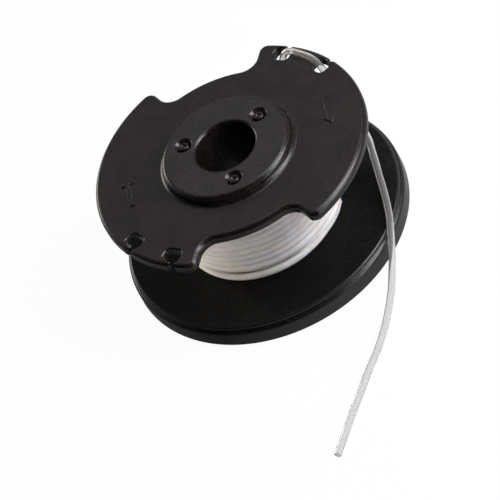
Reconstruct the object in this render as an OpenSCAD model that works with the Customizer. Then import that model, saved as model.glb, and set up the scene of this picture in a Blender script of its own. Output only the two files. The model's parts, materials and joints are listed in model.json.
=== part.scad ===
// Trimmer line spool: an upper flange with a boss, a drum with three pegs, a dished lower flange
// and one length of nylon line, which is wound on the drum and parked in two slots of the rim.
// Millimetres, +Z up, z = 0 is the foot of the skirt, and the spindle's axis is the Z axis.

/* [Top flange] */
// Radius of the upper flange
top_flange_radius = 32; // [31.6:0.1:34]
// Thickness of the upper flange's plate
top_flange_thickness = 2.2; // [2:0.1:3]
// Rounding of the upper flange's top edge
top_flange_edge = 1.1; // [0.4:0.1:1.4]

/* [Rim cut-outs] */
// Half of the angle that each rim cut-out takes
cutout_half_angle = 25.4; // [20:0.2:27]
// Radius of the floor of the cut-outs, from the axis
cutout_floor_radius = 24.4; // [22:0.1:26]
// Radius of the two inner corners of a cut-out
cutout_corner_radius = 3.8; // [2:0.1:4.2]
// Radius of the two outer tips beside a cut-out
cutout_tip_radius = 2; // [1.6:0.1:2.4]

/* [Line slots] */
// Angle of the slot that stands further from the cut-out
outer_slot_angle = 29.9; // [28:0.1:31]
// Angle of the slot that stands next to the cut-out
inner_slot_angle = 52.3; // [51:0.1:53]
// Distance from the axis to the centres of the slots
slot_place_radius = 29.1; // [28.8:0.1:29.3]
// Width of a slot's hole along the rim
slot_hole_width = 4.2; // [3.4:0.1:4.6]
// Depth of a slot's hole, towards the axis
slot_hole_depth = 3.4; // [3:0.1:3.6]
// Corner radius of a slot's hole
slot_hole_corner = 1.3; // [0.8:0.1:1.4]
// Width of the narrow mouth that the line snaps through
slot_mouth_width = 1.1; // [0.8:0.1:1.4]
// Side step of the mouths from the middle of their holes
slot_mouth_step = 0.9; // [0:0.1:0.9]
// Chamfer of the slot holes' top edge
slot_edge = 0.4; // [0.2:0.1:0.6]
// Radius of the lips where a mouth opens through the rim
slot_lip = 0.9; // [0.4:0.1:1]

/* [Arrows] */
// Distance from the axis to the middle of the arrows
arrow_place_radius = 23.9; // [22:0.1:26]
// Height of the raised arrows
arrow_height = 0.3; // [0.1:0.05:0.4]
// Length of an arrow
arrow_length = 8.5; // [5:0.1:10]
// Length of an arrow's head
arrow_head_length = 1.9; // [1.4:0.1:2.6]
// Width of an arrow's head
arrow_head_width = 3; // [2:0.1:4]
// Width of an arrow's shaft
arrow_shaft_width = 1.2; // [0.6:0.1:1.6]

/* [Boss and bore] */
// Radius of the boss's wall
boss_radius = 15.2; // [14.6:0.1:17]
// Height of the boss above the upper flange
boss_height = 2.1; // [2.1:0.1:4]
// Rounding of the boss's top edge
boss_edge = 1.2; // [0.4:0.1:1.2]
// Fillet round the boss's foot
boss_foot = 0.9; // [0.3:0.1:0.9]
// Radius of the spindle bore
bore_radius = 7; // [6.4:0.1:7.4]
// Rounding of the bore's upper edge
bore_edge = 0.8; // [0.3:0.1:0.9]

/* [Pegs] */
// Number of pegs that join the drum to the upper flange
peg_count = 3; // [3:1:4]
// Angle of the first peg
peg_angle = 29.8; // [0:0.1:60]
// Distance from the axis to the pegs
peg_place_radius = 10.4; // [10.3:0.1:10.8]
// Radius of a peg
peg_radius = 1.2; // [0.9:0.05:1.3]
// Clearance round a peg
peg_clearance = 0.1; // [0.05:0.05:0.2]
// Outer radius of the well round a peg's end
well_radius = 2.1; // [1.8:0.05:2.3]
// Depth of the well's bevel
well_depth = 0.8; // [0.4:0.1:1.2]
// How far a peg's end lies below the boss's face
peg_drop = 0.25; // [0.1:0.05:0.5]
// Rounding of a peg's end
peg_edge = 0.3; // [0.1:0.05:0.4]

/* [Drum] */
// Outer radius of the drum that the line is wound on
drum_radius = 13.6; // [13.2:0.1:14.6]
// Wall of the drum
drum_wall = 1.6; // [1.2:0.1:1.8]
// Height of the drum, which is the gap between the flanges
drum_height = 19.2; // [16:0.1:24]
// Floor that joins the drum's wall to its sleeve
drum_floor = 1.5; // [1:0.1:2.5]
// Wall of the sleeve round the spindle bore
sleeve_wall = 1.4; // [1:0.1:1.6]
// Radius of the posts that carry the pegs
post_radius = 2.2; // [2.2:0.05:2.6]
// How far the posts end below the drum's upper edge
post_drop = 0.1; // [0.05:0.05:0.3]
// Wall of the spigot below the drum
spigot_wall = 1.4; // [1:0.1:1.6]
// Clearance between the spigot and its socket
spigot_clearance = 0.1; // [0.05:0.05:0.3]
// Angle of the hole that anchors the line
anchor_angle = 210; // [195:1:225]
// Height of the anchor hole above the lower flange's face
anchor_height = 3.4; // [3:0.1:5]
// Clearance round the line in the anchor hole
anchor_clearance = 0.25; // [0.1:0.05:0.4]

/* [Bottom flange] */
// Radius of the lower flange at the foot of its skirt
bottom_flange_radius = 33.5; // [32:0.1:36]
// Height of the lower flange
bottom_flange_height = 5.1; // [4.6:0.1:7]
// Thickness of the lower flange's top plate
bottom_flange_plate = 1.8; // [1.4:0.1:2.2]
// Wall of the skirt
skirt_wall = 1.8; // [1.4:0.1:2.4]
// How much narrower the skirt is at its upper edge
skirt_draft = 0.1; // [0:0.1:0.6]
// Rounding of the skirt's upper edge
bottom_flange_edge = 1; // [0.8:0.1:1.4]
// How far the edge of the face stands in from the skirt
face_step_width = 0.8; // [0.5:0.05:0.8]
// Height of the step from the skirt's rounded edge up to the face
face_step_height = 0.95; // [0.6:0.05:1.1]
// Rounding of the face's edge
face_edge = 0.45; // [0.2:0.05:0.5]
// Wall of the socket ring that takes the drum's spigot
socket_wall = 1.6; // [1.2:0.1:2.4]
// Number of ribs under the lower flange
rib_count = 8; // [4:1:12]
// Thickness of a rib
rib_thickness = 1.2; // [0.8:0.1:2]
// How far ribs, sleeve and spigot stay above the foot of the skirt
inner_lift = 0.8; // [0.4:0.1:1.4]

/* [Line] */
// Diameter of the line
line_diameter = 1.6; // [1.2:0.1:1.8]
// Number of turns of the outer layer
winding_turns = 10; // [6:1:10]
// Outer radius of the winding
winding_radius = 19.4; // [17:0.1:20]
// Gap that the drawn turns keep from one another
turn_gap = 0.45; // [0.42:0.01:0.6]
// Clearance between the winding and what is next to it
winding_clearance = 0.1; // [0.05:0.05:0.3]

/* [Hidden] */
round_steps = 96;
edge_steps = 4;
corner_steps = 6;
floor_steps = 16;
joint_overlap = 0.2;
cut_margin = 1;

drum_foot = bottom_flange_height;
top_flange_foot = drum_foot + drum_height;
top_flange_face = top_flange_foot + top_flange_thickness;
boss_face = top_flange_face + boss_height;
sleeve_radius = bore_radius + sleeve_wall;
drum_inner_radius = drum_radius - drum_wall;
spigot_radius = drum_inner_radius;
socket_radius = spigot_radius + spigot_clearance;
peg_hole_radius = peg_radius + peg_clearance;
line_radius = line_diameter / 2;

plastic = [0.15, 0.15, 0.16];
dark_plastic = [0.1, 0.1, 0.11];
nylon = [0.86, 0.88, 0.9];
inner_nylon = [0.78, 0.8, 0.82];

// Points on an arc, from one angle to another
function arc(centre, radius, from, to, steps) =
    [for (i = [0 : steps]) centre + radius * heading(from + (to - from) * i / steps)];

function heading(angle) = [cos(angle), sin(angle)];
function lift(point, z) = [point[0], point[1], z];
function unit(v) = v / norm(v);

// Triangles between rings of points, closed by a flat fan at each end
function skin_faces(rings, sides) = concat(
    [for (i = [0 : rings - 2], j = [0 : sides - 1])
        [i * sides + j, i * sides + (j + 1) % sides, (i + 1) * sides + j]],
    [for (i = [0 : rings - 2], j = [0 : sides - 1])
        [i * sides + (j + 1) % sides, (i + 1) * sides + (j + 1) % sides, (i + 1) * sides + j]],
    [for (j = [1 : sides - 2]) [0, j + 1, j]],
    [for (j = [1 : sides - 2])
        [(rings - 1) * sides, (rings - 1) * sides + j, (rings - 1) * sides + j + 1]]);

// A tube along a path, each ring square to the path; ref is a direction that the path never takes
function path_heading(path, i) =
    i == 0 ? unit(path[1] - path[0])
    : i == len(path) - 1 ? unit(path[i] - path[i - 1])
    : unit(unit(path[i + 1] - path[i]) + unit(path[i] - path[i - 1]));

function tube_ring(centre, ahead, radius, sides, ref) =
    let (side = unit(cross(ahead, ref)), up = cross(side, ahead), half = 180 / sides)
    [for (j = [0 : sides - 1])
        centre + radius * (cos(360 * j / sides + half) * side + sin(360 * j / sides + half) * up)];

module tube(path, radius, sides, ref = [0, 0, 1]) {
    rings = [for (i = [0 : len(path) - 1]) tube_ring(path[i], path_heading(path, i), radius, sides, ref)];
    polyhedron(points = [for (ring = rings, p = ring) p], faces = skin_faces(len(path), sides));
}

// Outline of a rim cut-out as pairs of a point and the plate's outward direction there,
// for a cut-out whose middle lies on the X axis
tip_centre_radius = top_flange_radius - cutout_tip_radius;
corner_centre_radius = cutout_floor_radius + cutout_corner_radius;
tip_angle = asin(cutout_tip_radius / tip_centre_radius);
corner_angle = asin(cutout_corner_radius / corner_centre_radius);
// The arcs of tips and lips stop this angle short of the rim's own direction, so that they cross it cleanly
tip_stop = 8;
lip_stop = 25;

function arc_with_normals(centre, radius, from, to, steps, outward) =
    [for (i = [0 : steps])
        let (way = heading(from + (to - from) * i / steps))
        [centre + radius * way, outward * way]];

function cutout_half(side) = concat(
    arc_with_normals([0, 0], cutout_floor_radius, 0,
        side * (cutout_half_angle - corner_angle), floor_steps / 2, 1),
    arc_with_normals(corner_centre_radius * heading(side * (cutout_half_angle - corner_angle)),
        cutout_corner_radius,
        side * (cutout_half_angle - corner_angle + 180),
        side * (cutout_half_angle + 90), corner_steps, -1),
    arc_with_normals(tip_centre_radius * heading(side * (cutout_half_angle + tip_angle)),
        cutout_tip_radius,
        side * (cutout_half_angle - 90),
        side * (cutout_half_angle + tip_angle - tip_stop), corner_steps, 1));

// The cut-out's outline where the plate is drawn in by inset, closed outside the rim
function cutout_ring(inset, z) =
    let (
        left = cutout_half(1),
        right = cutout_half(-1),
        last = left[len(left) - 1][0],
        far = top_flange_radius + cut_margin,
        end = atan2(last[1], last[0]))
    concat(
        [for (i = [len(right) - 1 : -1 : 1]) lift(right[i][0] - inset * right[i][1], z)],
        [for (pair = left) lift(pair[0] - inset * pair[1], z)],
        [for (i = [0 : floor_steps]) lift(far * heading(end - 2 * end * i / floor_steps), z)]);

module rim_cutout() {
    edge_rings = [for (i = [0 : edge_steps])
        let (angle = 90 * i / edge_steps)
        cutout_ring(top_flange_edge * (1 - cos(angle)),
                    top_flange_face - top_flange_edge * (1 - sin(angle)))];
    rings = concat([cutout_ring(0, top_flange_foot - cut_margin)],
                   edge_rings,
                   [cutout_ring(top_flange_edge, top_flange_face + cut_margin)]);
    sides = len(rings[0]);
    polyhedron(points = [for (ring = rings, p = ring) p], faces = skin_faces(len(rings), sides));
}

// A slot's hole as a rounded rectangle, grown by a margin, across X and deep along Y
module slot_hole_outline(margin) {
    half_width = slot_hole_width / 2 - slot_hole_corner;
    half_depth = slot_hole_depth / 2 - slot_hole_corner;
    radius = slot_hole_corner + margin;
    polygon(concat(
        arc([half_width, half_depth], radius, 0, 90, corner_steps),
        arc([-half_width, half_depth], radius, 90, 180, corner_steps),
        arc([-half_width, -half_depth], radius, 180, 270, corner_steps),
        arc([half_width, -half_depth], radius, 270, 360, corner_steps)));
}

// A mouth's outline, from the middle of its hole out through the rim, with rounded lips
module slot_mouth_outline() {
    half_width = slot_mouth_width / 2;
    rim = top_flange_radius - slot_place_radius;
    left = arc([-half_width - slot_lip, rim - slot_lip], slot_lip, 0, 90 - lip_stop, edge_steps);
    right = [for (i = [edge_steps : -1 : 0]) [-left[i][0], left[i][1]]];
    polygon(concat(
        [[-half_width, 0]], left,
        [[left[edge_steps][0], rim + cut_margin], [right[0][0], rim + cut_margin]],
        right, [[half_width, 0]]));
}

// A keyhole slot: the hole, its opened top edge and the mouth that runs out through the rim
module line_slot(angle, step) {
    rotate([0, 0, angle - 90]) translate([0, slot_place_radius, top_flange_foot - cut_margin]) {
        linear_extrude(top_flange_thickness + 2 * cut_margin) slot_hole_outline(0);
        translate([0, 0, top_flange_thickness + cut_margin - slot_edge])
            linear_extrude(slot_edge + cut_margin) slot_hole_outline(slot_edge / 2);
        translate([step, 0, 0])
            linear_extrude(top_flange_thickness + 2 * cut_margin) slot_mouth_outline();
    }
}

// A raised arrow that points clockwise, seen from above
module arrow() {
    tip = -arrow_length / 2;
    neck = tip + arrow_head_length;
    tail = arrow_length / 2;
    translate([arrow_place_radius, 0, top_flange_face - joint_overlap])
        linear_extrude(joint_overlap + arrow_height)
            polygon([
                [0, tip],
                [arrow_head_width / 2, neck],
                [arrow_shaft_width / 2, neck],
                [arrow_shaft_width / 2, tail],
                [-arrow_shaft_width / 2, tail],
                [-arrow_shaft_width / 2, neck],
                [-arrow_head_width / 2, neck]]);
}

module top_flange_body() {
    rotate_extrude($fn = round_steps) polygon(concat(
        [[bore_radius, top_flange_foot]],
        arc([bore_radius + bore_edge, boss_face - bore_edge], bore_edge, 180, 90, edge_steps),
        arc([boss_radius - boss_edge, boss_face - boss_edge], boss_edge, 90, 0, edge_steps),
        arc([boss_radius + boss_foot, top_flange_face + boss_foot], boss_foot, 180, 270, edge_steps),
        arc([top_flange_radius - top_flange_edge, top_flange_face - top_flange_edge],
            top_flange_edge, 90, 0, edge_steps),
        [[top_flange_radius, top_flange_foot]]));
}

// The hole for a peg, which opens into a bevelled well in the boss's face
module peg_well() {
    bevel_run = well_radius - peg_hole_radius;
    translate([peg_place_radius, 0, 0])
        rotate_extrude($fn = round_steps) polygon([
            [0, top_flange_foot - cut_margin],
            [peg_hole_radius, top_flange_foot - cut_margin],
            [peg_hole_radius, boss_face - well_depth],
            [well_radius + bevel_run * cut_margin / well_depth, boss_face + cut_margin],
            [0, boss_face + cut_margin]]);
}

module top_flange() {
    color(plastic) union() {
        difference() {
            top_flange_body();
            for (side = [90, 270]) rotate([0, 0, side]) rim_cutout();
            line_slot(outer_slot_angle, slot_mouth_step);
            line_slot(inner_slot_angle, slot_mouth_step);
            line_slot(outer_slot_angle + 180, -slot_mouth_step);
            line_slot(inner_slot_angle + 180, -slot_mouth_step);
            for (i = [0 : peg_count - 1]) rotate([0, 0, peg_angle + 360 * i / peg_count]) peg_well();
        }
        for (side = [0, 180]) rotate([0, 0, side]) arrow();
    }
}

// A post up to the upper flange, and on it the peg that goes through that flange
module peg_post() {
    peg_top = boss_face - peg_drop;
    translate([peg_place_radius, 0, 0]) {
        translate([0, 0, drum_foot + drum_floor - joint_overlap])
            cylinder(h = drum_height - drum_floor + joint_overlap - post_drop, r = post_radius,
                     $fn = round_steps);
        rotate_extrude($fn = round_steps) polygon(concat(
            [[0, top_flange_foot - post_drop - joint_overlap]],
            [[peg_radius, top_flange_foot - post_drop - joint_overlap]],
            arc([peg_radius - peg_edge, peg_top - peg_edge], peg_edge, 0, 90, edge_steps),
            [[0, peg_top]]));
    }
}

module drum() {
    anchor_hole_radius = line_radius + anchor_clearance;
    spigot_inner_radius = spigot_radius - spigot_wall;
    color(dark_plastic) difference() {
        union() {
            rotate_extrude($fn = round_steps) polygon([
                [bore_radius, inner_lift],
                [sleeve_radius, inner_lift],
                [sleeve_radius, drum_foot],
                [spigot_inner_radius, drum_foot],
                [spigot_inner_radius, inner_lift],
                [spigot_radius, inner_lift],
                [spigot_radius, drum_foot],
                [drum_radius, drum_foot],
                [drum_radius, top_flange_foot],
                [drum_inner_radius, top_flange_foot],
                [drum_inner_radius, drum_foot + drum_floor],
                [sleeve_radius, drum_foot + drum_floor],
                [sleeve_radius, top_flange_foot],
                [bore_radius, top_flange_foot]]);
            intersection() {
                for (i = [0 : peg_count - 1]) rotate([0, 0, peg_angle + 360 * i / peg_count]) peg_post();
                difference() {
                    cylinder(h = boss_face, r = drum_radius - joint_overlap, $fn = round_steps);
                    translate([0, 0, -cut_margin])
                        cylinder(h = boss_face + 2 * cut_margin, r = bore_radius + joint_overlap,
                                 $fn = round_steps);
                }
            }
        }
        rotate([0, 0, anchor_angle])
            translate([drum_radius - drum_wall - joint_overlap, 0, drum_foot + anchor_height])
                rotate([0, 90, 0])
                    cylinder(h = drum_wall + 2 * joint_overlap, r = anchor_hole_radius, $fn = round_steps);
    }
}

module bottom_flange() {
    shoulder_radius = bottom_flange_radius - skirt_draft;
    step_radius = shoulder_radius - face_step_width;
    step_foot = bottom_flange_height - face_step_height;
    step_angle = acos(1 - face_step_width / bottom_flange_edge);
    plate_foot = bottom_flange_height - bottom_flange_plate;
    socket_outer_radius = socket_radius + socket_wall;
    color(plastic) union() {
        rotate_extrude($fn = round_steps) polygon(concat(
            [[socket_radius, inner_lift]],
            [[socket_outer_radius, inner_lift]],
            [[socket_outer_radius, plate_foot]],
            [[shoulder_radius - skirt_wall, plate_foot]],
            [[bottom_flange_radius - skirt_wall, 0]],
            [[bottom_flange_radius, 0]],
            arc([shoulder_radius - bottom_flange_edge, step_foot - bottom_flange_edge],
                bottom_flange_edge, 0, step_angle, edge_steps),
            arc([step_radius - face_edge, bottom_flange_height - face_edge], face_edge, 0, 90, edge_steps),
            [[socket_radius, bottom_flange_height]]));
        for (i = [0 : rib_count - 1])
            rotate([0, 0, 360 * i / rib_count])
                translate([socket_outer_radius - joint_overlap, -rib_thickness / 2, inner_lift])
                    cube([shoulder_radius - skirt_wall - socket_outer_radius + 2 * joint_overlap,
                          rib_thickness, plate_foot - inner_lift + joint_overlap]);
    }
}

// The outer layer of turns: clockwise from above as it climbs, with a straight stretch at each end
winding_low = drum_foot + winding_clearance + line_radius;
winding_high = top_flange_foot - winding_clearance - line_radius;
turn_pitch = (winding_high - winding_low) / winding_turns;
turn_diameter = min(line_diameter, turn_pitch - turn_gap);
turn_radius = winding_radius - line_radius;
rings_per_turn = 24;
slot_reach = acos(turn_radius / slot_place_radius);
leaving_angle = inner_slot_angle + slot_reach;

function turn_point(t) =
    let (angle = leaving_angle + 360 * (winding_turns - t))
    lift(turn_radius * heading(angle), winding_low + turn_pitch * t);
function clockwise(angle) = [sin(angle), -cos(angle), 0];

winding_start = turn_point(0);
winding_last = turn_point(winding_turns);
start_angle = leaving_angle + 360 * winding_turns;
winding_end = winding_last + turn_diameter * clockwise(leaving_angle);

winding_path = concat(
    [winding_start - turn_diameter * clockwise(start_angle)],
    [for (i = [0 : winding_turns * rings_per_turn]) turn_point(i / rings_per_turn)],
    [winding_end]);

winding_self_gap = min([for (i = [0 : len(winding_path) - 1 - rings_per_turn / 2])
    min([for (j = [i + rings_per_turn / 2 : min(len(winding_path) - 1, i + 2 * rings_per_turn)])
        norm(winding_path[i] - winding_path[j])])]) - turn_diameter;
echo(winding_self_gap = winding_self_gap, turn_pitch = turn_pitch, turn_diameter = turn_diameter);

module winding_core() {
    core_inner = drum_radius + winding_clearance;
    core_outer = winding_radius - line_diameter - winding_clearance;
    color(inner_nylon)
        rotate_extrude($fn = round_steps)
            translate([core_inner, drum_foot + winding_clearance])
                square([core_outer - core_inner, drum_height - 2 * winding_clearance]);
}

module winding_outer() {
    color(nylon) tube(winding_path, turn_diameter / 2, 6);
}

// The line's first end: bent up inside the drum, out through the anchor hole, across X and up Z
anchor_route = [
    [-2.6, 8], [-2.6, 6], [-2.6, 4.2], [-2.5, 3], [-2.1, 1.8],
    [-1.4, 0.8], [-0.5, 0.2], [0.4, 0], [1.6, 0]];

module line_anchor() {
    color(inner_nylon) rotate([0, 0, anchor_angle])
        translate([drum_inner_radius, 0, drum_foot + anchor_height])
            tube([for (p = anchor_route) [p[0], 0, p[1]]], line_radius, 8, [0, 1, 0]);
}

// The hitch: off the winding, up through the slot next to the cut-out, over the rim and down again.
// A point's numbers are how far it lies outside the slots' place radius, how far clockwise of the
// middle between the two slots, and how far above the upper flange's foot
hitch_route = [
    [-5.2, -8.2, -1.15], [-3.6, -7.35, -1.2], [-2.4, -6.7, -1.05], [-1.55, -6.2, -0.5],
    [-0.95, -5.9, 0.3], [-0.55, -5.55, 1.2], [-0.25, -5, 2.1], [0, -4.05, 2.8],
    [0.15, -2.65, 3.15], [0.15, -0.7, 3.25], [0.1, 1.4, 3.25], [-0.05, 3.05, 3.1],
    [-0.2, 4.25, 2.65], [-0.35, 5.25, 1.8], [-0.55, 6.05, 0.8], [-0.85, 7, -0.4],
    [-1.2, 8.1, -1.7]];
middle_angle = (outer_slot_angle + inner_slot_angle) / 2;

function hitch_point(p) =
    lift((slot_place_radius + p[0]) * heading(middle_angle), top_flange_foot + p[2])
    + p[1] * clockwise(middle_angle);

// From the winding to the route's first point the line is straight
hitch_start = winding_end + line_diameter * clockwise(leaving_angle);
straight_steps = 4;
hitch_path = concat(
    [winding_end],
    [for (i = [0 : straight_steps - 1])
        hitch_start + (hitch_point(hitch_route[0]) - hitch_start) * i / straight_steps],
    [for (p = hitch_route) hitch_point(p)]);

module line_hitch() {
    color(nylon) tube(hitch_path, line_radius, 8);
}

// The loose end: down from the slot, over the edge of the lower flange and along the ground
tail_route = [
    [27, 10.8, 20.8], [27.5, 8.6, 18.6], [28.1, 6, 16.4], [28.6, 3.1, 14.6],
    [29, 0.2, 13], [28.8, -1.9, 11.8], [28.6, -4.6, 10.5], [28.3, -7.4, 9.2],
    [28.1, -10.3, 8], [27.8, -13.3, 7], [27.3, -17, 6.1], [26.5, -20.7, 5.4],
    [25.6, -24.5, 4.8], [24.8, -27.6, 4.2], [23.9, -30.3, 3.6], [22.7, -33.7, 2.9],
    [21.1, -37.3, 2.1], [18.9, -41.6, 1.4], [16.4, -46, 1], [14.2, -49.3, 0.85],
    [12, -52.4, 0.8], [9.1, -57, 0.8], [6.4, -61.1, 0.8], [3.6, -65.7, 0.8],
    [0.8, -70.4, 0.8]];

module line_tail() {
    color(nylon) tube(concat([hitch_path[len(hitch_path) - 1]], tail_route), line_radius, 8);
}

top_flange();
drum();
bottom_flange();
winding_core();
winding_outer();
line_anchor();
line_hitch();
line_tail();
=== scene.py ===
"""A trimmer line spool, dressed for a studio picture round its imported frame.

Sizes are in millimetres, like those of the part's source, and MM turns them into the scene's
metres. The spindle's axis is Z, and z = 0 is the foot of the lower flange. Angles are in degrees
from +X, anticlockwise as seen from above.
"""

import json
import math

import bmesh
import bpy
import numpy as np
from mathutils import Matrix, Vector

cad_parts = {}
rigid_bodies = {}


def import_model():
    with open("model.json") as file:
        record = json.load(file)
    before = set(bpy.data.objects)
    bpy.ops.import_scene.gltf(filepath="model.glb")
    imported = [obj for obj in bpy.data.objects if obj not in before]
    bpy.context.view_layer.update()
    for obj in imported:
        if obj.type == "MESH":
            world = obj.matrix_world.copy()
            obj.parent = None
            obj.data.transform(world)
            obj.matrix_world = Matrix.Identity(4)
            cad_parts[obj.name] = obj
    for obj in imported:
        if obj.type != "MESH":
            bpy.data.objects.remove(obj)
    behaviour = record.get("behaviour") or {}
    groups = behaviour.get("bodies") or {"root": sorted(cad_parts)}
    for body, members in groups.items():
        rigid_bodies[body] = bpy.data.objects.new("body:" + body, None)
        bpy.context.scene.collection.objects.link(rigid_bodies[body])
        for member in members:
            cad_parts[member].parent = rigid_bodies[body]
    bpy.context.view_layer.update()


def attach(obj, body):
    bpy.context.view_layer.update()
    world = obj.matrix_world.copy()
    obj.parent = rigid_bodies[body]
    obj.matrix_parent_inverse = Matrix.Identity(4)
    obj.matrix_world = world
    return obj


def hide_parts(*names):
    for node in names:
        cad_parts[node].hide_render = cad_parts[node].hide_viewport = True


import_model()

MM = 0.001
SCENE = bpy.context.scene

# Sizes that the pieces share, in millimetres
LOW_FACE = 5.1            # top of the lower flange
PLATE_FOOT = 24.3         # underside of the upper flange
PLATE_FACE = 26.5         # top of the upper flange's plate
BOSS_FACE = 28.6          # top of the boss round the bore
PLATE_RADIUS = 32.0
BORE_RADIUS = 7.0
DRUM_RADIUS = 13.6
DRUM_WALL = 12.0          # inside of the drum's wall
PEG_PLACE = 10.4          # from the axis to a peg's middle
PEG_ANGLES = (29.8, 149.8, 269.8)
SLOT_PLACE = 29.1         # from the axis to a slot's middle
SLOT_ANGLES = (29.9, 52.3)
ANCHOR_ANGLE = 210        # where the line's first end goes through the drum
ANCHOR_HEIGHT = LOW_FACE + 3.4
LINE_RADIUS = 0.8
LINE_CREASE = 60          # the angle from which a line piece's edges are sharp
LINE_FLOOR = LOW_FACE + 0.1        # the wound line stays that much clear of the flanges
LINE_CEILING = PLATE_FOOT - 0.1
WINDING_RADIUS = 18.6     # middle of the outer layer's turns
WINDING_LOW = 6.0         # where its first turn starts
WINDING_HIGH = 23.4       # where its last turn ends
WINDING_TURNS = 10


# ---------------------------------------------------------------- shapes

def heading(degrees):
    """The direction at an angle, which is also that angle's cosine and sine."""
    return np.array([math.cos(math.radians(degrees)), math.sin(math.radians(degrees))])


def clockwise(degrees):
    """The direction of clockwise travel, seen from above, at that angle round the axis."""
    return np.array([math.sin(math.radians(degrees)), -math.cos(math.radians(degrees)), 0.0])


def around(radius, degrees, height):
    """The point at that radius, angle and height round the axis."""
    return np.array([*(radius * heading(degrees)), height])


def turned(point, degrees):
    """A point turned about the axis."""
    x, y, z = point
    c, s = heading(degrees)
    return c * x - s * y, s * x + c * y, z


def arc(centre, radius, start, end, steps):
    """Points on an arc in the plane, from one angle to another."""
    return [tuple(np.array(centre) + radius * heading(start + (end - start) * i / steps))
            for i in range(steps + 1)]


def mesh_object(name, vertices, faces):
    """A new object from vertices in millimetres."""
    mesh = bpy.data.meshes.new(name)
    mesh.from_pydata([Vector(v) * MM for v in vertices], [], faces)
    mesh.validate()
    thing = bpy.data.objects.new(name, mesh)
    SCENE.collection.objects.link(thing)
    return thing


def skin(name, rings, closed=False):
    """A surface through rings of as many points each, closed into a loop or capped at its ends."""
    count = len(rings[0])
    vertices = [p for ring in rings for p in ring]
    faces = []
    for i in range(len(rings) if closed else len(rings) - 1):
        low, high = i * count, (i + 1) % len(rings) * count
        for j in range(count):
            after = (j + 1) % count
            faces.append((low + j, low + after, high + after, high + j))
    if not closed:
        faces.append(tuple(range(count - 1, -1, -1)))
        faces.append(tuple((len(rings) - 1) * count + j for j in range(count)))
    return mesh_object(name, vertices, faces)


def lathe(name, profile, steps=240):
    """A ring-shaped solid: a closed profile of (radius, height) turned round the axis."""
    rings = [[around(r, 360 * i / steps, z) for r, z in profile] for i in range(steps)]
    return skin(name, rings, closed=True)


def bead(name, profile, middle, steps=48):
    """A round solid: a profile of (radius, height) from the bottom up, capped at both ends."""
    ways = [heading(360 * i / steps) for i in range(steps)]
    return skin(name, [[(*(middle + r * way), z) for way in ways] for r, z in profile])


def smooth_path(points, step):
    """Points every step along a natural cubic spline through the given points."""
    p = np.array(points, float)
    u = np.r_[0, np.cumsum(np.linalg.norm(np.diff(p, axis=0), axis=1))]
    h, n = np.diff(u), len(p)
    left, right = np.eye(n), np.zeros((n, 3))
    for i in range(1, n - 1):
        left[i, i - 1:i + 2] = h[i - 1], 2 * (h[i - 1] + h[i]), h[i]
        right[i] = 6 * ((p[i + 1] - p[i]) / h[i] - (p[i] - p[i - 1]) / h[i - 1])
    m = np.linalg.solve(left, right)
    t = np.linspace(0, u[-1], int(u[-1] / step) + 2)
    i = np.clip(np.searchsorted(u, t, side="right") - 1, 0, n - 2)
    a, b, w = (t - u[i])[:, None], (u[i + 1] - t)[:, None], h[i][:, None]
    bends = m[i] * b ** 3 / (6 * w) + m[i + 1] * a ** 3 / (6 * w)
    return bends + (p[i] / w - m[i] * w / 6) * b + (p[i + 1] / w - m[i + 1] * w / 6) * a


def tube(name, path, radius, sides=32):
    """A round tube along a path, whose rings don't twist against one another."""
    path = np.array(path, float)
    ahead = np.gradient(path, axis=0)
    ahead /= np.linalg.norm(ahead, axis=1)[:, None]
    side = np.cross(ahead[0], (0, 0, 1))
    ways = [heading(360 * j / sides) for j in range(sides)]
    rings = []
    for point, way in zip(path, ahead):
        side = side - way * (side @ way)
        side /= np.linalg.norm(side)
        up = np.cross(side, way)
        rings.append([point + radius * (c * side + s * up) for c, s in ways])
    return skin(name, rings)


def carve(target, cutters, operation="DIFFERENCE"):
    """Cuts the cutters out of target, or joins them to it, and deletes them."""
    for cutter in cutters:
        modifier = target.modifiers.new("carve", "BOOLEAN")
        modifier.operation = operation
        modifier.object = cutter
        modifier.solver = "EXACT"
    bpy.context.view_layer.update()
    shown = target.evaluated_get(bpy.context.evaluated_depsgraph_get())
    made = bpy.data.meshes.new_from_object(shown)
    target.modifiers.clear()
    target.data = made
    for cutter in cutters:
        bpy.data.objects.remove(cutter)


def soften(thing, angle=32):
    """Smooth shading that keeps edges sharper than the angle sharp, and flat faces flat."""
    thing.data.shade_smooth()
    thing.data.set_sharp_from_angle(angle=math.radians(angle))
    modifier = thing.modifiers.new("normals", "WEIGHTED_NORMAL")
    modifier.keep_sharp = True
    modifier.weight = 100


# ---------------------------------------------------------------- materials

PLASTIC_IOR = 1.5
NYLON_IOR = 1.17          # lower than real nylon's, so that a line a few pixels wide stays clear
WORN_EDGE = 0.35          # how far the wear reaches over an edge
FINE_GRAIN = (0.5, 0.6)   # size and strength
COARSE_GRAIN = (0.6, 0.9)
FLOOR_GLOW = 0.96         # share of the floor's white that takes no shadow


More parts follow.
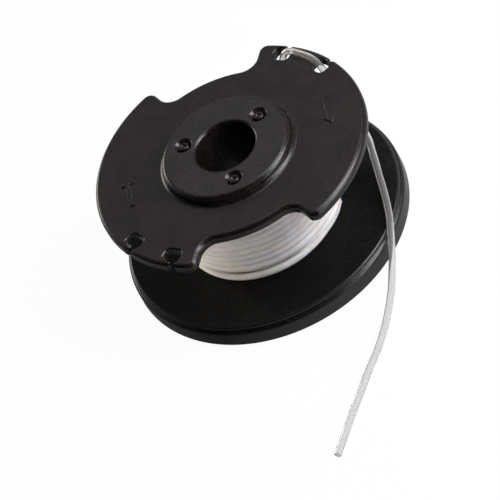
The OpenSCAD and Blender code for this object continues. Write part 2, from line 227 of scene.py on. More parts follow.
class Nodes:
    """The node tree of a material or world, with short ways to add and link nodes."""

    def __init__(self, owner, shader="Principled BSDF"):
        owner.use_nodes = True
        self.tree = owner.node_tree
        self.shader = self.tree.nodes[shader]

    def add(self, kind, inputs=None, **settings):
        node = self.tree.nodes.new("ShaderNode" + kind)
        for key, value in settings.items():
            setattr(node, key, value)
        for key, value in (inputs or {}).items():
            self.feed(node.inputs[key], value)
        return node

    def feed(self, socket, value):
        if isinstance(value, bpy.types.NodeSocket):
            self.tree.links.new(value, socket)
        else:
            socket.default_value = value

    def set(self, **inputs):
        """Sets or links the shader's own inputs."""
        for key, value in inputs.items():
            self.feed(self.shader.inputs[key.replace("_", " ")], value)

    def noise(self, size_mm, detail=3.0, roughness=0.6):
        """Noise whose grains are about that many millimetres across."""
        place = self.add("TexCoord").outputs["Object"]
        return self.add("TexNoise", {"Vector": place, "Scale": 1 / (size_mm * MM),
                                     "Detail": detail, "Roughness": roughness}).outputs["Fac"]

    def calc(self, operation, first, second=0.0, clamp=False):
        return self.add("Math", {0: first, 1: second}, operation=operation,
                        use_clamp=clamp).outputs[0]

    def dot(self, first, second):
        return self.add("VectorMath", {0: first, 1: second},
                        operation="DOT_PRODUCT").outputs["Value"]

    def span(self, value, low, high, new_low, new_high):
        """The value, taken from one range to another and kept inside that."""
        return self.add("MapRange", {"Value": value, "From Min": low, "From Max": high,
                                     "To Min": new_low, "To Max": new_high}).outputs["Result"]

    def between(self, share, first, second):
        """A number between two others."""
        return self.add("Mix", {0: share, 2: first, 3: second}, data_type="FLOAT").outputs[0]

    def mix(self, share, first, second):
        """A colour between two others."""
        return self.add("Mix", {0: share, 6: first, 7: second}, data_type="RGBA").outputs[2]

    def mix_shader(self, share, first, second):
        return self.add("MixShader", {0: share, 1: first, 2: second}).outputs[0]

    def white(self, strength):
        return self.add("Emission", {"Color": (1, 1, 1, 1), "Strength": strength}).outputs[0]

    def bump(self, height, strength, depth_mm, below=None):
        inputs = {"Height": height, "Strength": strength, "Distance": depth_mm * MM}
        if below is not None:
            inputs["Normal"] = below
        return self.add("Bump", inputs).outputs["Normal"]


def plastic(name, grain, dark, light, face_rough, round_rough, shine):
    """Black moulded plastic, with rubbed edges.

    Its flat faces have a spark-eroded grain, and its roundings and walls are smoother."""
    material = bpy.data.materials.new(name)
    n = Nodes(material)
    mottle = n.noise(5.0, 4.0)
    grains = n.noise(grain[0], 4.0, 0.7)
    waves = n.noise(1.4, 2.0, 0.5)
    normal = n.add("NewGeometry").outputs["Normal"]
    tilt = n.calc("ABSOLUTE", n.add("SeparateXYZ", {0: normal}).outputs["Z"])
    face = n.span(tilt, 0.95, 0.995, 0.0, 1.0)
    round_normal = n.add("Bevel", {"Radius": WORN_EDGE * MM}, samples=6).outputs["Normal"]
    worn = n.span(n.dot(round_normal, normal), 0.995, 0.9, 0.0, 1.0)
    speck = n.calc("ADD", n.span(mottle, 0.35, 0.65, 0.0, 0.3),
                   n.span(grains, 0.42, 0.58, 0.0, 0.7))
    ground = n.between(face, round_rough, face_rough)
    rubbed = n.between(worn, ground, round_rough - 0.05)
    n.set(Base_Color=n.mix(speck, dark, light),
          Roughness=n.calc("ADD", rubbed, n.span(mottle, 0.3, 0.7, -0.03, 0.03)),
          Normal=n.bump(grains, grain[1], 0.03, n.bump(waves, 0.25, 0.02)),
          IOR=PLASTIC_IOR, Specular_IOR_Level=shine)
    return material


def nylon(name, tint, pale, clear, rough, haze_mm, ripple):
    """Extruded nylon line: clear or milky, hazy inside to that depth, with faint draw marks."""
    material = bpy.data.materials.new(name)
    n = Nodes(material)
    streak = n.noise(2.6, 2.0)
    n.set(Base_Color=n.mix(n.span(streak, 0.35, 0.65, 0.0, 1.0), tint, pale),
          Normal=n.bump(n.noise(2.0, 2.0), ripple, 0.02),
          Roughness=rough, Transmission_Weight=clear, IOR=NYLON_IOR, Specular_IOR_Level=0.5,
          Subsurface_Weight=1.0 if haze_mm else 0.0, Subsurface_Scale=haze_mm * MM,
          Subsurface_Radius=(1.0, 0.9, 0.75))
    return material


def seen_in_white(n):
    """A light path's outputs, and 1 for the rays that see the white studio.

    Those are the camera's own rays, and the ones through the clear line that nothing scattered."""
    path = n.add("LightPath").outputs
    through = n.calc("SUBTRACT", path["Is Transmission Ray"], path["Diffuse Depth"], clamp=True)
    return path, n.calc("MAXIMUM", path["Is Camera Ray"], through)


def floor_material():
    """White with a faint shadow for the camera and the clear line, and pale for other light.

    Gloss sees a grey floor of painted light and shade, which the plastic shows as painted
    reflections: near the spool it is lightest at the right (painted light), darker behind the spool
    and darkest at the left (painted shade), and from 75 mm off it is half white or more all round."""
    material = bpy.data.materials.new("pale_floor_painted_shade")
    n = Nodes(material)
    path, seen = seen_in_white(n)
    n.set(Base_Color=n.mix(seen, (0.45, 0.45, 0.45, 1), (0.95, 0.95, 0.95, 1)),
          Roughness=0.9, Specular_IOR_Level=0.0)
    share = n.calc("MULTIPLY", seen, FLOOR_GLOW)
    shadowed = n.mix_shader(share, n.shader.outputs[0], n.white(1.0))
    place = n.add("TexCoord").outputs["Object"]
    flat = n.add("VectorMath", {0: place}, operation="NORMALIZE").outputs[0]
    away = n.add("VectorMath", {0: place}, operation="LENGTH").outputs["Value"]
    # painted light and shade for gloss: painted light to the right of the spool, painted shade
    # behind it and to its left, fading out from 40 to 75 mm off
    right = n.span(n.dot(flat, (*heading(-8), 0)), -0.4, 0.5, 0.14, 0.65)
    back = n.span(n.dot(flat, (*heading(90), 0)), 0.1, 0.8, 1.0, 0.5)
    far = n.span(away, 40 * MM, 75 * MM, 0.0, 0.5)
    level = n.calc("MAXIMUM", n.calc("MULTIPLY", right, back), far)
    # gloss rays see this painted light and shade as an emission, in place of the lit floor
    gloss = n.calc("SUBTRACT", path["Is Glossy Ray"], seen, clamp=True)
    n.feed(n.tree.nodes["Material Output"].inputs["Surface"],
           n.mix_shader(gloss, shadowed, n.white(level)))
    return material


def paint(thing, material, face_material=None, height=0.0):
    """Gives a piece its material, and its level faces above that height another one."""
    thing.data.materials.clear()
    thing.data.materials.append(material)
    for polygon in thing.data.polygons:
        polygon.material_index = 0
    if face_material:
        thing.data.materials.append(face_material)
        for polygon in thing.data.polygons:
            if polygon.normal.z > 0.999 and polygon.center.z > height * MM:
                polygon.material_index = 1


CLEAR_LINE = nylon("clear_nylon", (0.73, 0.72, 0.725, 1), (0.75, 0.74, 0.745, 1),
                   clear=0.85, rough=0.3, haze_mm=0.0, ripple=0.0)
WOUND_LINE = nylon("wound_nylon", (0.84, 0.815, 0.82, 1), (0.92, 0.9, 0.91, 1),
                   clear=0.0, rough=0.3, haze_mm=0.5, ripple=0.04)
CORE_LINE = nylon("core_nylon", (0.88, 0.88, 0.88, 1), (0.92, 0.92, 0.92, 1),
                  clear=0.0, rough=0.4, haze_mm=4.0, ripple=0.04)
TOP_PLASTIC = plastic("black_plastic_fine", FINE_GRAIN, (0.0015, 0.001, 0.0009, 1),
                      (0.0185, 0.0135, 0.0125, 1), face_rough=0.36, round_rough=0.25, shine=0.46)
# the boss's level top face: the plate's plastic with a lighter colour that is painted light, and
# more shine
BOSS_PLASTIC_PAINTED_LIGHT = plastic("black_plastic_boss_painted_light", FINE_GRAIN, (0.0025, 0.0018, 0.0016, 1),
                       (0.0205, 0.0155, 0.0145, 1), face_rough=0.36, round_rough=0.25, shine=0.68)
LOW_PLASTIC = plastic("black_plastic_coarse", COARSE_GRAIN, (0.0005, 0.0005, 0.0004, 1),
                      (0.009, 0.0078, 0.0072, 1), face_rough=0.45, round_rough=0.31, shine=0.55)
LOW_FACE_PLASTIC = plastic("black_plastic_matt", COARSE_GRAIN, (0.0005, 0.0005, 0.0004, 1),
                           (0.0096, 0.0088, 0.0081, 1), face_rough=0.5, round_rough=0.3,
                           shine=0.12)


# ---------------------------------------------------------------- camera and line

def add_camera():
    """In front of the spool, 45 degrees above it and rolled clockwise."""
    right = Vector((0.91632, -0.1888, -0.35314))
    down = Vector((-0.37902, -0.69352, -0.61268))
    forward = Vector((-0.12923, 0.69526, -0.70704))
    place = Vector((67.41, -398.82, 400.92))
    camera = bpy.data.objects.new("camera", bpy.data.cameras.new("camera"))
    camera.data.sensor_width = 36
    camera.data.lens = 180
    camera.data.clip_start = 0.01
    turn = Matrix((right, -down, -forward)).transposed()
    camera.matrix_world = Matrix.Translation(place * MM) @ turn.to_4x4()
    SCENE.collection.objects.link(camera)
    SCENE.camera = camera


# Where the winding ends, so that the line runs straight from it to the first slot
LEAVING = SLOT_ANGLES[1] + math.degrees(math.acos(WINDING_RADIUS / SLOT_PLACE))
PITCH = (WINDING_HIGH - WINDING_LOW) / WINDING_TURNS
LEAD = 2.9                # from the winding's end to the first point of that straight stretch

# The hitch, as in the part's source: beyond SLOT_PLACE, clockwise of the slots' middle, and
# above the plate's foot
HITCH = [
    (-5.2, -8.2, -1.15), (-3.6, -7.35, -1.2), (-2.4, -6.7, -1.05), (-1.55, -6.2, -0.5),
    (-0.95, -5.9, 0.3), (-0.55, -5.55, 1.2), (-0.25, -5, 2.1), (0, -4.05, 2.8),
    (0.15, -2.65, 3.15), (0.15, -0.7, 3.25), (0.1, 1.4, 3.25), (-0.05, 3.05, 3.1),
    (-0.2, 4.25, 2.65), (-0.35, 5.25, 1.8), (-0.55, 6.05, 0.8), (-0.85, 7, -0.4),
    (-1.2, 8.1, -1.7)]

# The loose end, as in the part's source
TAIL = [
    (27, 10.8, 20.8), (27.5, 8.6, 18.6), (28.1, 6, 16.4), (28.6, 3.1, 14.6),
    (29, 0.2, 13), (28.8, -1.9, 11.8), (28.6, -4.6, 10.5), (28.3, -7.4, 9.2),
    (28.1, -10.3, 8), (27.8, -13.3, 7), (27.3, -17, 6.1), (26.5, -20.7, 5.4),
    (25.6, -24.5, 4.8), (24.8, -27.6, 4.2), (23.9, -30.3, 3.6), (22.7, -33.7, 2.9),
    (21.1, -37.3, 2.1), (18.9, -41.6, 1.4), (16.4, -46, 1), (14.2, -49.3, 0.85),
    (12, -52.4, 0.8), (9.1, -57, 0.8), (6.4, -61.1, 0.8), (3.6, -65.7, 0.8),
    (0.8, -70.4, 0.8)]


def hitch_point(p):
    middle = sum(SLOT_ANGLES) / 2
    return around(SLOT_PLACE + p[0], middle, PLATE_FOOT + p[2]) + p[1] * clockwise(middle)


def line_pieces():
    """The free line: the hitch, which the slots hold, and the loose end."""
    winding_end = around(WINDING_RADIUS, LEAVING, WINDING_LOW + PITCH * WINDING_TURNS)
    first = hitch_point(HITCH[0])
    start = winding_end + LEAD * clockwise(LEAVING)
    lead = [winding_end] + [start + (first - start) * i / 4 for i in range(4)]
    exit_point = hitch_point(HITCH[-1])
    whole = smooth_path(lead + [hitch_point(p) for p in HITCH] + TAIL, step=0.25)
    split = int(np.argmin(np.linalg.norm(whole - exit_point, axis=1)))
    hitch = tube("line_hitch_clear", whole[:split + 1], LINE_RADIUS)
    tail = tube("line_tail_clear", whole[split:], LINE_RADIUS)
    for piece, node in ((hitch, "line_hitch"), (tail, "line_tail")):
        soften(piece, LINE_CREASE)
        paint(piece, CLEAR_LINE)
        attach(piece, "root")
        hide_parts(node)


# ---------------------------------------------------------------- winding

CORE_RADIUS = 16.4        # outside of the inner layers
OUTER_INSIDE = 16.45      # inside of the outer layer
TURN_PHASES = (-90, -75, -52, -26, 0, 26, 52, 75, 90)     # where a turn's outline has its points
TURN_SWAY = 0.06          # how far the turns wander in and out
TURN_GROOVE = 0.3         # how far the groove between two turns is set in
GROOVE_HALF = 0.03        # half of that groove's width
END_OUT = 0.1             # how far the layer's two ends reach past its turns' middle at most
LOWEST_START, LOWEST_END = -12, -184      # angles between which the lowest turn stands out
LOWEST_IN = 0.25          # how far its ends are set in
LOWEST_OUT = 0.7          # how much further out its middle is
LOWEST_GAP = 0.05         # between it and the lower flange
HOLLOW_DEPTH = 2.1        # how far the layer behind it is set back,
HOLLOW_MIDDLE, HOLLOW_REACH = -112, 84    # round that angle and as far to both sides,
HOLLOW_TOP = (LOW_FACE + 2.0, LOW_FACE + 2.5)     # fading out between these heights


def bump_at(angle, middle, width):
    """1 at the middle angle, falling smoothly to 0 that many degrees away."""
    away = abs((angle - middle + 180) % 360 - 180)
    return 0.5 + 0.5 * math.cos(math.pi * min(away / width, 1))


def turn_profile(angle, sway):
    """The outer layer's outline at an angle round the axis: (radius, height) points, upwards."""
    share = ((LEAVING - angle) / 360) % 1
    if angle == LEAVING - 360:    # the last profile meets the first one, a turn higher
        share = 1.0
    hollow = HOLLOW_DEPTH * bump_at(angle, HOLLOW_MIDDLE, HOLLOW_REACH)
    points = []
    for k in range(-1, WINDING_TURNS + 2):
        middle = WINDING_LOW + PITCH * (share + k)
        place = np.clip(share + k, 0, WINDING_TURNS)
        wander = TURN_SWAY * np.interp(place, range(len(sway)), sway)
        for phase in TURN_PHASES:
            c, s = heading(phase)
            out = WINDING_RADIUS + wander + LINE_RADIUS * c
            z = middle + s * LINE_RADIUS
            if abs(phase) == 90:
                z = middle + math.copysign(PITCH / 2 - GROOVE_HALF, phase)
                out -= TURN_GROOVE
            out -= hollow * np.interp(z, HOLLOW_TOP, (1, 0))
            if not LINE_FLOOR < z < LINE_CEILING:
                out = min(out, WINDING_RADIUS + END_OUT)
            points.append((out, min(max(z, LINE_FLOOR), LINE_CEILING)))
    return points


def lowest_turn():
    """The stretch of the lowest turn that stands out from the rest, along the lower flange."""
    middle, reach = (LOWEST_START + LOWEST_END) / 2, (LOWEST_START - LOWEST_END) / 2
    path = []
    for angle in range(LOWEST_START, LOWEST_END, -2):
        radius = WINDING_RADIUS - LOWEST_IN + LOWEST_OUT * bump_at(angle, middle, reach)
        path.append(around(radius, angle, LOW_FACE + LINE_RADIUS + LOWEST_GAP))
    return tube("winding_lowest_turn", path, LINE_RADIUS)


def winding_pieces():
    """The wound line: the outer layer, whose turns lie side by side, and the core under it."""
    sway = np.random.default_rng(7).normal(0, 1, WINDING_TURNS + 2)
    steps = 300
    vertices, faces = [], []
    for i in range(steps + 1):
        angle = LEAVING - 360 * i / steps
        profile = turn_profile(angle, sway)
        profile += [(OUTER_INSIDE, LINE_CEILING), (OUTER_INSIDE, LINE_FLOOR)]
        vertices += [around(r, angle, z) for r, z in profile]
    count = len(profile)
    for i in range(steps):
        low, high = i * count, (i + 1) * count
        for j in range(count):
            after = (j + 1) % count
            faces.append((low + j, high + j, high + after, low + after))
    outer = mesh_object("winding_turns", vertices, faces)
    inner, outside = DRUM_RADIUS + 0.05, CORE_RADIUS
    core = lathe("winding_core_line", [(inner, LINE_FLOOR), (outside, LINE_FLOOR),
                                       (outside, LINE_CEILING), (inner, LINE_CEILING)], 128)
    weld, close = bmesh.new(), 0.001 * MM
    weld.from_mesh(outer.data)
    bmesh.ops.remove_doubles(weld, verts=weld.verts, dist=close)
    bmesh.ops.dissolve_degenerate(weld, edges=weld.edges, dist=close)
    bmesh.ops.recalc_face_normals(weld, faces=weld.faces)
    weld.to_mesh(outer.data)
    weld.free()
    for piece, material, node in ((outer, WOUND_LINE, "winding_outer"),
                                  (lowest_turn(), WOUND_LINE, "winding_outer"),
                                  (core, CORE_LINE, "winding_core")):
        soften(piece, LINE_CREASE)
        paint(piece, material)
        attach(piece, "root")
        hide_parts(node)


# ---------------------------------------------------------------- upper flange

PLATE_EDGE = 1.1          # rounding of the plate's upper edge
FOOT_EDGE = 0.35          # rounding of its lower edge
BOSS_RADIUS = 15.2
BOSS_EDGE = 1.2           # rounding of the boss's upper edge
BOSS_FILLET = 1.15        # rounding at its foot
BORE_EDGE = 0.8           # rounding of the bore's upper edge
ARROW_HEIGHT = 0.3
CUTOUT_ANGLE = 25.4       # from a rim cut-out's middle to its side
CUTOUT_FLOOR = 24.4       # from the axis to its floor
CUTOUT_CORNER = 3.8       # rounding between its floor and side
CUTOUT_TIP = 2.0          # rounding between its side and the rim
HOLE_X, HOLE_Y = 0.8, 0.4          # from a slot's middle to the centres of its hole's corners
HOLE_CORNER = 1.3
MOUTH_HALF = 0.55         # half of the mouth's width
MOUTH_STEP = 0.9          # how far the mouth lies to the hole's side
MOUTH_LIP = 0.9           # rounding where the mouth opens in the rim
SLOT_EDGE = 0.4           # rounding of a slot's upper edge
LIP_EDGE = 0.8            # rounding of that edge at the rim
BEYOND = 1                # how far cutters reach past the faces that they cut


def cutout_half(side):
    """One half of a rim cut-out's outline, from its middle out.

    It is a list of pairs: a point, and the direction there that leads out of the plate."""
    corner_place = CUTOUT_FLOOR + CUTOUT_CORNER
    tip_place = PLATE_RADIUS - CUTOUT_TIP
    corner_angle = math.degrees(math.asin(CUTOUT_CORNER / corner_place))
    tip_angle = math.degrees(math.asin(CUTOUT_TIP / tip_place))
    edge = CUTOUT_ANGLE - corner_angle
    pairs = []

    def sweep(centre, radius, start, end, steps, outward):
        for i in range(steps + 1):
            way = heading(side * (start + (end - start) * i / steps))
            pairs.append((centre + radius * way, outward * way))

    sweep(np.zeros(2), CUTOUT_FLOOR, 0, edge, 20, 1)
    sweep(corner_place * heading(side * edge), CUTOUT_CORNER, edge + 180, CUTOUT_ANGLE + 90, 14, -1)
    sweep(tip_place * heading(side * (CUTOUT_ANGLE + tip_angle)), CUTOUT_TIP,
          CUTOUT_ANGLE - 90, CUTOUT_ANGLE + tip_angle - 6, 14, 1)
    return pairs


def rim_cutout(middle):
    """The space of a rim cut-out, with the plate's rounded edges along it."""
    left, right = cutout_half(1), cutout_half(-1)
    last = left[-1][0]
    end = math.degrees(math.atan2(last[1], last[0]))
    steps = 24
    rim = [(PLATE_RADIUS + BEYOND) * heading(end - 2 * end * i / steps) for i in range(steps + 1)]

    def ring(inset, z):
        flat = [p - inset * n for p, n in reversed(right[1:])] + [p - inset * n for p, n in left]
        return [turned((*p, z), middle) for p in reversed(flat + rim)]

    rings = [ring(FOOT_EDGE, PLATE_FOOT - BEYOND), ring(FOOT_EDGE, PLATE_FOOT)]
    for angle in (30, 60, 90):
        c, s = heading(angle)
        rings.append(ring(FOOT_EDGE * (1 - s), PLATE_FOOT + FOOT_EDGE * (1 - c)))
    for i in range(9):
        c, s = heading(90 * i / 8)
        rings.append(ring(PLATE_EDGE * (1 - c), PLATE_FACE - PLATE_EDGE * (1 - s)))
    rings.append(ring(PLATE_EDGE, PLATE_FACE + BEYOND))
    return skin("cutout", rings)


def slot_cutter(outline, turn):
    """A cutter through the plate, turned about the axis.

    For a margin, outline gives its points and the rounding of the plate's upper edge at each."""
    edges = outline(0.0)[1]
    rings = [[(*p, PLATE_FOOT + z) for p in outline(margin)[0]]
             for margin, z in ((0.2, -BEYOND), (0.2, 0), (0.06, 0.06), (0.0, 0.2))]
    for angle in (0, 20, 40, 60, 75, 90):
        c, s = heading(angle)
        points = [outline(edge * (1 - c))[0][i] for i, edge in enumerate(edges)]
        rings.append([(*p, PLATE_FACE - edge * (1 - s)) for p, edge in zip(points, edges)])
    rings.append([(x, y, PLATE_FACE + BEYOND) for x, y, z in rings[-1]])
    return skin("cutter", [[turned(p, turn) for p in ring] for ring in rings])


def hole_outline(margin):
    """A slot's hole: a box with round corners, grown by a margin."""
    points = []
    for i, (x, y) in enumerate(((1, 1), (-1, 1), (-1, -1), (1, -1))):
        centre = (x * HOLE_X, SLOT_PLACE + y * HOLE_Y)
        points += arc(centre, HOLE_CORNER + margin, 90 * i, 90 * i + 90, 8)
    return points, [SLOT_EDGE] * len(points)


def mouth_outline(step):
    """A slot's narrow mouth, whose lips curve away at the rim and have rounder edges there."""
    def outline(margin):
        steps = 10
        lip = arc((-MOUTH_HALF - MOUTH_LIP, PLATE_RADIUS - MOUTH_LIP), MOUTH_LIP - margin,
                  0, 65, steps)
        half = [(-MOUTH_HALF - margin, SLOT_PLACE + HOLE_Y)] + lip
        half.append((lip[-1][0], PLATE_RADIUS + 2))
        edges = [SLOT_EDGE + (LIP_EDGE - SLOT_EDGE) * i / steps for i in range(steps + 1)]
        edges = [SLOT_EDGE] + edges + [LIP_EDGE]
        points = [(step + x, y) for x, y in half] + [(step - x, y) for x, y in reversed(half)]
        return points[::-1], (edges + edges[::-1])[::-1]
    return outline


def line_slot(angle, step):
    """A keyhole slot: its hole and the narrow mouth that the line snaps through."""
    return [slot_cutter(hole_outline, angle - 90), slot_cutter(mouth_outline(step), angle - 90)]


def arrow(turn):
    """A low raised arrow that points clockwise, with rounded edges."""
    tip, neck, tail, place = -4.25, -2.35, 4.25, 23.9
    barb, shaft = 1.5, 0.6
    points = [(0, tip), (barb, neck), (shaft, neck), (shaft, tail),
              (-shaft, tail), (-shaft, neck), (-barb, neck)]

    def outline(margin):
        grown = []
        for i, p in enumerate(points):
            before = np.array(p, float) - points[i - 1]
            after = np.array(points[(i + 1) % len(points)], float) - p
            n1 = np.array([before[1], -before[0]]) / np.linalg.norm(before)
            n2 = np.array([after[1], -after[0]]) / np.linalg.norm(after)
            miter = (n1 + n2) / (1 + n1 @ n2)
            grown.append(np.array(p) + margin * miter + (place, 0))
        return grown

    levels = ((0.1, -0.3), (0.1, -0.01), (0.03, 0.03), (0.0, 0.09), (0.0, 0.17), (-0.03, 0.24),
              (-0.08, 0.285), (-0.14, ARROW_HEIGHT))
    rings = [[turned((*p, PLATE_FACE + z), turn) for p in outline(margin)] for margin, z in levels]
    return skin("arrow", rings)


def peg_well(angle):
    """The hole round a peg's end, opening into a bevelled well."""
    profile = [(1.32, PLATE_FOOT - BEYOND)]
    profile += [(r, BOSS_FACE + z) for r, z in (
        (1.32, -0.8), (1.36, -0.72), (1.95, -0.16), (2.02, -0.07), (2.12, -0.015),
        (2.25, 0.01), (2.25, BEYOND))]
    return bead("well", profile, PEG_PLACE * heading(angle))


def top_flange_piece():
    profile = [(BORE_RADIUS, PLATE_FOOT)]
    profile += arc((BORE_RADIUS + BORE_EDGE, BOSS_FACE - BORE_EDGE), BORE_EDGE, 180, 90, 10)
    profile += arc((BOSS_RADIUS - BOSS_EDGE, BOSS_FACE - BOSS_EDGE), BOSS_EDGE, 90, 0, 12)
    profile += arc((BOSS_RADIUS + BOSS_FILLET, PLATE_FACE + BOSS_FILLET), BOSS_FILLET, 180, 270, 12)
    profile += arc((PLATE_RADIUS - PLATE_EDGE, PLATE_FACE - PLATE_EDGE), PLATE_EDGE, 90, 0, 10)
    profile += arc((PLATE_RADIUS - FOOT_EDGE, PLATE_FOOT + FOOT_EDGE), FOOT_EDGE, 0, -90, 4)
    flange = lathe("top_flange_moulding", profile)
    cutters = [rim_cutout(90), rim_cutout(270)]
    cutters += [peg_well(a) for a in PEG_ANGLES]
    for angle in SLOT_ANGLES:
        cutters += line_slot(angle, MOUTH_STEP) + line_slot(angle + 180, -MOUTH_STEP)
    carve(flange, cutters)
    carve(flange, [arrow(0), arrow(180)], "UNION")
    soften(flange)
    # the boss's level top face takes the plastic copy whose lighter colour is painted light
    paint(flange, TOP_PLASTIC, BOSS_PLASTIC_PAINTED_LIGHT, BOSS_FACE - 0.1)
    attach(flange, "root")
    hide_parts("top_flange")


# ---------------------------------------------------------------- drum and lower flange

RING_FOOT = 0.8           # height of the feet of the drum's and the lower flange's rings
ANCHOR_HOLE = 1.05        # radius of the hole that the line's first end goes through


def peg(angle):
    """A peg's end: a rounded rim round a shallow dimple."""
    top = BOSS_FACE - 0.25
    profile = [(1.2, PLATE_FOOT - 0.4)]
    profile += arc((0.88, top - 0.32), 0.32, 0, 90, 6)
    profile += [(r, top - depth) for r, depth in (
        (0.62, 0.02), (0.5, 0.12), (0.42, 0.26), (0.3, 0.3), (0.16, 0.22), (0.05, 0.2))]
    return bead("peg", profile, PEG_PLACE * heading(angle))


def ring_foot(inside, outside, bevel):
    """The bevelled foot of a ring, as a part of a profile."""
    return [(inside, RING_FOOT + bevel), (inside + bevel, RING_FOOT),
            (outside - bevel, RING_FOOT), (outside, RING_FOOT + bevel)]


def drum_piece():
    """The drum with its sleeve, floor and spigot, its posts and pegs, and the anchor hole."""
    sleeve, spigot, bevel, floor = 8.4, 10.6, 0.3, LOW_FACE + 1.5
    profile = ring_foot(BORE_RADIUS, sleeve, bevel) + [(sleeve, LOW_FACE), (spigot, LOW_FACE)]
    profile += ring_foot(spigot, DRUM_WALL, bevel) + [
        (DRUM_WALL, LOW_FACE), (DRUM_RADIUS, LOW_FACE), (DRUM_RADIUS, PLATE_FOOT),
        (DRUM_WALL, PLATE_FOOT), (DRUM_WALL, floor), (sleeve, floor), (sleeve, PLATE_FOOT),
        (BORE_RADIUS, PLATE_FOOT)]
    drum = lathe("drum_moulding", profile[::-1], 160)
    posts = []
    for angle in PEG_ANGLES:
        post = [(2.2, LOW_FACE + 1), (2.2, PLATE_FOOT - 0.1)]
        posts.append(bead("post", post, PEG_PLACE * heading(angle)))
        posts.append(peg(angle))
    carve(drum, posts, "UNION")
    ways = [ANCHOR_HOLE * heading(a) for a in range(0, 360, 10)]
    hole = skin("hole", [[turned((r, x, ANCHOR_HEIGHT + z), ANCHOR_ANGLE) for x, z in ways]
                         for r in (11.5, 14.5)])
    carve(drum, [hole])
    soften(drum)
    paint(drum, TOP_PLASTIC)
    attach(drum, "root")
    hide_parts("drum")


def bottom_flange_piece():
    """A dish with a stepped rim, and under it a socket ring for the drum's spigot and ribs."""
    foot_radius, shoulder_radius, edge, wall = 33.5, 33.4, 1.0, 1.8
    step_radius, step_height, step_edge = 32.6, 0.95, 0.45
    socket, socket_out, plate_foot, inside = 12.1, 13.7, LOW_FACE - 1.8, shoulder_radius - wall
    ring_fillet, skirt_fillet, foot_bevel, foot_edge = 0.5, 0.6, 0.3, 0.35
    profile = [(socket, LOW_FACE)] + ring_foot(socket, socket_out, 0.2)
    profile += arc((socket_out + ring_fillet, plate_foot - ring_fillet), ring_fillet, 180, 90, 5)
    profile += arc((inside - skirt_fillet, plate_foot - skirt_fillet), skirt_fillet, 90, 0, 6)
    profile += [(foot_radius - wall, foot_bevel), (foot_radius - wall + foot_bevel, 0.0)]
    profile += arc((foot_radius - foot_edge, foot_edge), foot_edge, 270, 360, 5)
    profile += arc((shoulder_radius - edge, LOW_FACE - step_height - edge), edge, 0, 80, 14)
    profile += arc((step_radius + 0.36, LOW_FACE - step_height + 0.4), 0.4, 245, 200, 4)
    profile += arc((step_radius - step_edge, LOW_FACE - step_edge), step_edge, 25, 90, 8)
    flange = lathe("bottom_flange_moulding", profile[::-1], 256)
    half, into = 0.6, 0.2    # half of a rib's width, and how far ribs go into what they join
    start, end = socket_out - into, inside + into
    outline = [(start, -half), (end, -half), (end, half), (start, half)]
    ribs = [skin("rib", [[turned((*p, z), 45 * i) for p in outline]
                         for z in (RING_FOOT, plate_foot + into)]) for i in range(8)]
    carve(flange, ribs, "UNION")
    soften(flange)
    paint(flange, LOW_PLASTIC, LOW_FACE_PLASTIC, LOW_FACE - 0.1)
    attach(flange, "root")
    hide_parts("bottom_flange")


def anchor_piece():
    """The line's first end, hooked through the drum."""
    route = [(-2.6, 8), (-2.6, 6), (-2.6, 4.2), (-2.5, 3), (-2.1, 1.8),
             (-1.4, 0.8), (-0.5, 0.2), (0.4, 0), (1.6, 0)]
    points = [around(DRUM_WALL + x, ANCHOR_ANGLE, ANCHOR_HEIGHT + z) for x, z in route]
    path = smooth_path(points, step=0.3)
    anchor = tube("line_anchor_clear", path, LINE_RADIUS)
    soften(anchor, LINE_CREASE)
    paint(anchor, CLEAR_LINE)
    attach(anchor, "root")
    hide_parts("line_anchor")


# ---------------------------------------------------------------- studio

FLOOR_REACH = 3000        # from the axis to the floor's sides
COOL_LIGHT = (1, 0.985, 0.99)
WARM_LIGHT = (1, 0.95, 0.88)
AMBER_LIGHT = (1, 0.92, 0.79)


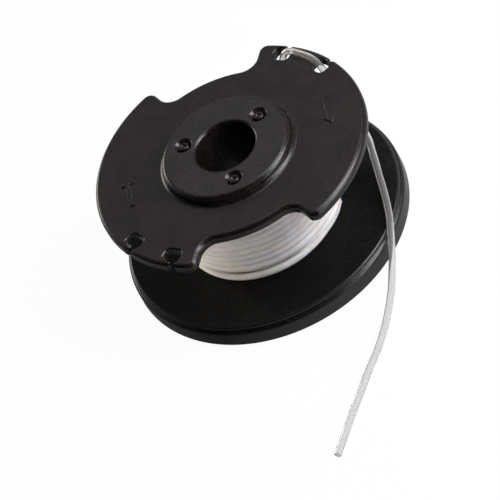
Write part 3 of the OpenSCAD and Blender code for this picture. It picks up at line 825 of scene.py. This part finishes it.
def lamp(name, azimuth, elevation, distance, size, radiance, colour=(1, 1, 1)):
    """A soft box of that size, aimed at the middle of the spool from a direction.

    The clear line doesn't show it as a spot: it sees the white studio instead."""
    middle = Vector((0, 0, 18))
    flat, rise = heading(azimuth), heading(elevation)
    away = Vector((flat[0] * rise[0], flat[1] * rise[0], rise[1])) * distance
    light = bpy.data.lights.new(name, "AREA")
    light.shape = "RECTANGLE"
    light.size, light.size_y = size[0] * MM, size[1] * MM
    light.energy = radiance * math.pi * light.size * light.size_y
    light.color = colour
    thing = bpy.data.objects.new(name, light)
    thing.location = (middle + away) * MM
    thing.rotation_euler = (-away).to_track_quat("-Z", "Y").to_euler()
    thing.visible_transmission = False
    SCENE.collection.objects.link(thing)
    return thing


def add_world():
    """White where the camera or the clear line sees it, and faint light from the back elsewhere."""
    world = bpy.data.worlds.new("studio")
    SCENE.world = world
    n = Nodes(world, "Background")
    path, seen = seen_in_white(n)
    place = n.add("TexCoord").outputs["Generated"]
    back = n.add("SeparateXYZ", {0: place}).outputs["Y"]
    light = n.between(path["Is Glossy Ray"], n.span(back, 0.0, 0.8, 0.0, 0.15),
                      n.span(back, -0.1, 0.7, 0.0, 0.3))
    n.set(Strength=n.between(seen, light, 1.0), Color=(1, 1, 1, 1))


def studio():
    corners = ((-1, -1), (1, -1), (1, 1), (-1, 1))
    floor = mesh_object("floor", [(FLOOR_REACH * x, FLOOR_REACH * y, 0) for x, y in corners],
                        [(0, 1, 2, 3)])
    paint(floor, floor_material())
    add_world()
    lamp("right_box", -12, 37, 460, (280, 190), 10.0, COOL_LIGHT)
    lamp("right_top", 6, 59, 460, (170, 130), 9.0, COOL_LIGHT)
    lamp("right_low", -32, 9, 460, (300, 120), 5.0, COOL_LIGHT)
    lamp("top_box", 60, 65, 900, (300, 300), 5.0)
    lamp("left_box", 133, 12, 460, (190, 150), 4.5, WARM_LIGHT)
    glow = lamp("line_box", 176, 8, 460, (300, 150), 11.0, AMBER_LIGHT)
    lit = bpy.data.collections.new("line")    # the pieces that the last box lights
    for thing in SCENE.objects:
        if thing.type == "MESH" and thing.name.startswith(("line", "winding")):
            lit.objects.link(thing)
    glow.light_linking.receiver_collection = lit


# ---------------------------------------------------------------- the whole

SCENE.view_settings.view_transform = "Standard"

add_camera()
line_pieces()
winding_pieces()
anchor_piece()
top_flange_piece()
drum_piece()
bottom_flange_piece()
studio()
